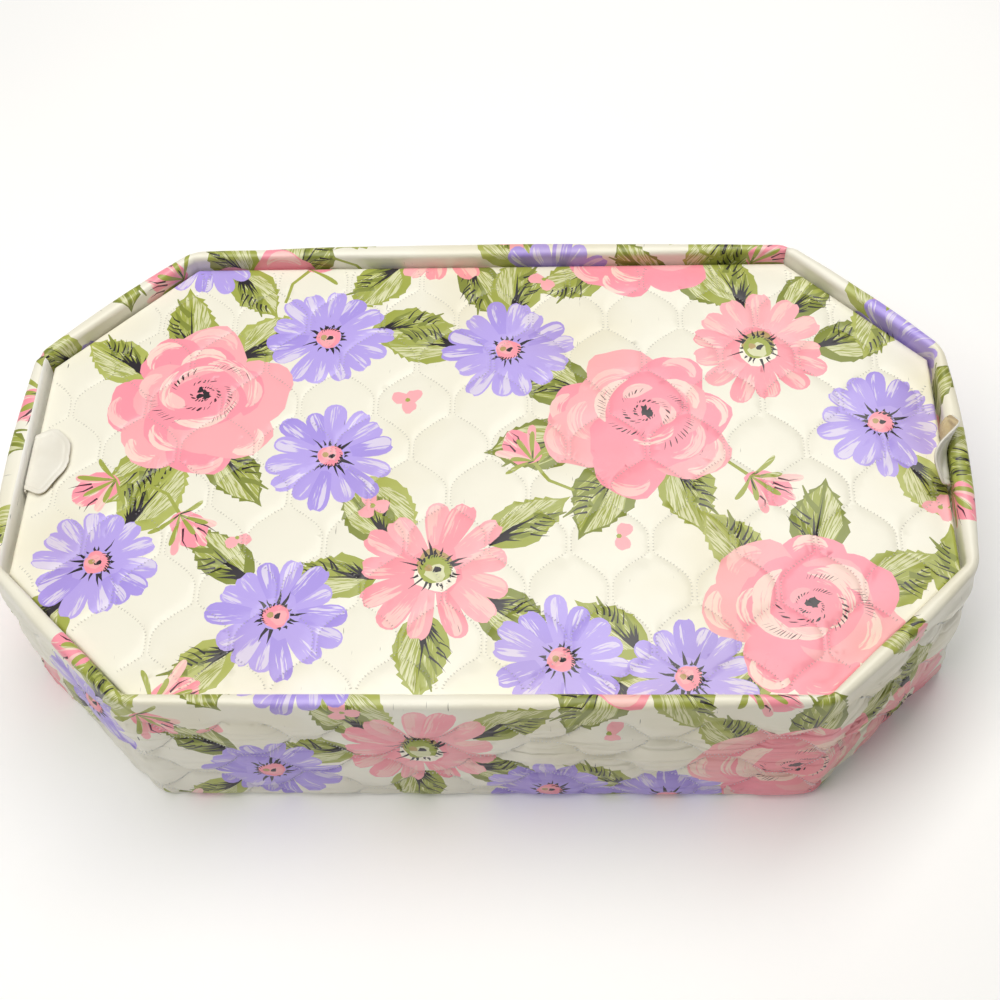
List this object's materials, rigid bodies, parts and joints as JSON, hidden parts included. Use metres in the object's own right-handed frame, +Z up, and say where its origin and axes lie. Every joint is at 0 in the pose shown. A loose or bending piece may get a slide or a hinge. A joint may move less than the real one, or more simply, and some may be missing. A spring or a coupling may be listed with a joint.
{
  "type": "covered storage box",
  "caption": "Long octagonal covered card box with a padded rim, a quilted printed cover and a drop-in quilted lid lifted by a pull tab at each end.",
  "frame": {"origin": "centre of the box on the surface it stands on", "axes": "+X along the box to the right end, +Y to the back, +Z up"},
  "size_m": [0.406, 0.238, 0.1003],
  "materials": {
    "vinyl": "glossy printed vinyl",
    "white_vinyl": "satin white vinyl",
    "wadding": "soft fibre wadding",
    "card": "matte grey-brown board",
    "tape": "gummed kraft paper",
    "lining": "matte white lining paper"
  },
  "bodies": {
    "box": {"base_board": "card", "base_cover": "white_vinyl", "base_lining": "lining", "corner_board_back_left": "card", "corner_board_back_right": "card", "corner_board_front_left": "card", "corner_board_front_right": "card", "corner_tapes": "tape", "ledge_board_back": "card", "ledge_board_back_left": "card", "ledge_board_back_right": "card", "ledge_board_front": "card", "ledge_board_front_left": "card", "ledge_board_front_right": "card", "ledge_board_left": "card", "ledge_board_right": "card", "rim_padding_back": "wadding", "rim_padding_front": "wadding", "wall_board_back": "card", "wall_board_front": "card", "wall_board_left": "card", "wall_board_right": "card", "wall_cover_back": "vinyl", "wall_cover_front": "vinyl", "wall_lining": "lining", "wall_wadding_back": "wadding", "wall_wadding_front": "wadding"},
    "lid": {"left_tab_root": "white_vinyl", "lid_board": "card", "lid_cover": "vinyl", "lid_lining": "lining", "lid_wadding": "wadding", "right_tab_root": "white_vinyl"},
    "left_tab": {"left_pull_tab": "white_vinyl"},
    "right_tab": {"right_pull_tab": "white_vinyl"}
  },
  "joints": [
    {"name": "lid_lift", "type": "slide", "parent": "box", "child": "lid", "axis": [0, 0, 1], "range_m": [0, 0.12]},
    {"name": "left_tab_fold", "type": "hinge", "parent": "lid", "child": "left_tab", "pos_m": [-0.1967, 0, 0.0842], "axis": [0, -1, 0], "range_deg": [0, 90]},
    {"name": "right_tab_fold", "type": "hinge", "parent": "lid", "child": "right_tab", "pos_m": [0.1971, 0, 0.0842], "axis": [0, -1, 0], "range_deg": [0, 90]}
  ]
}
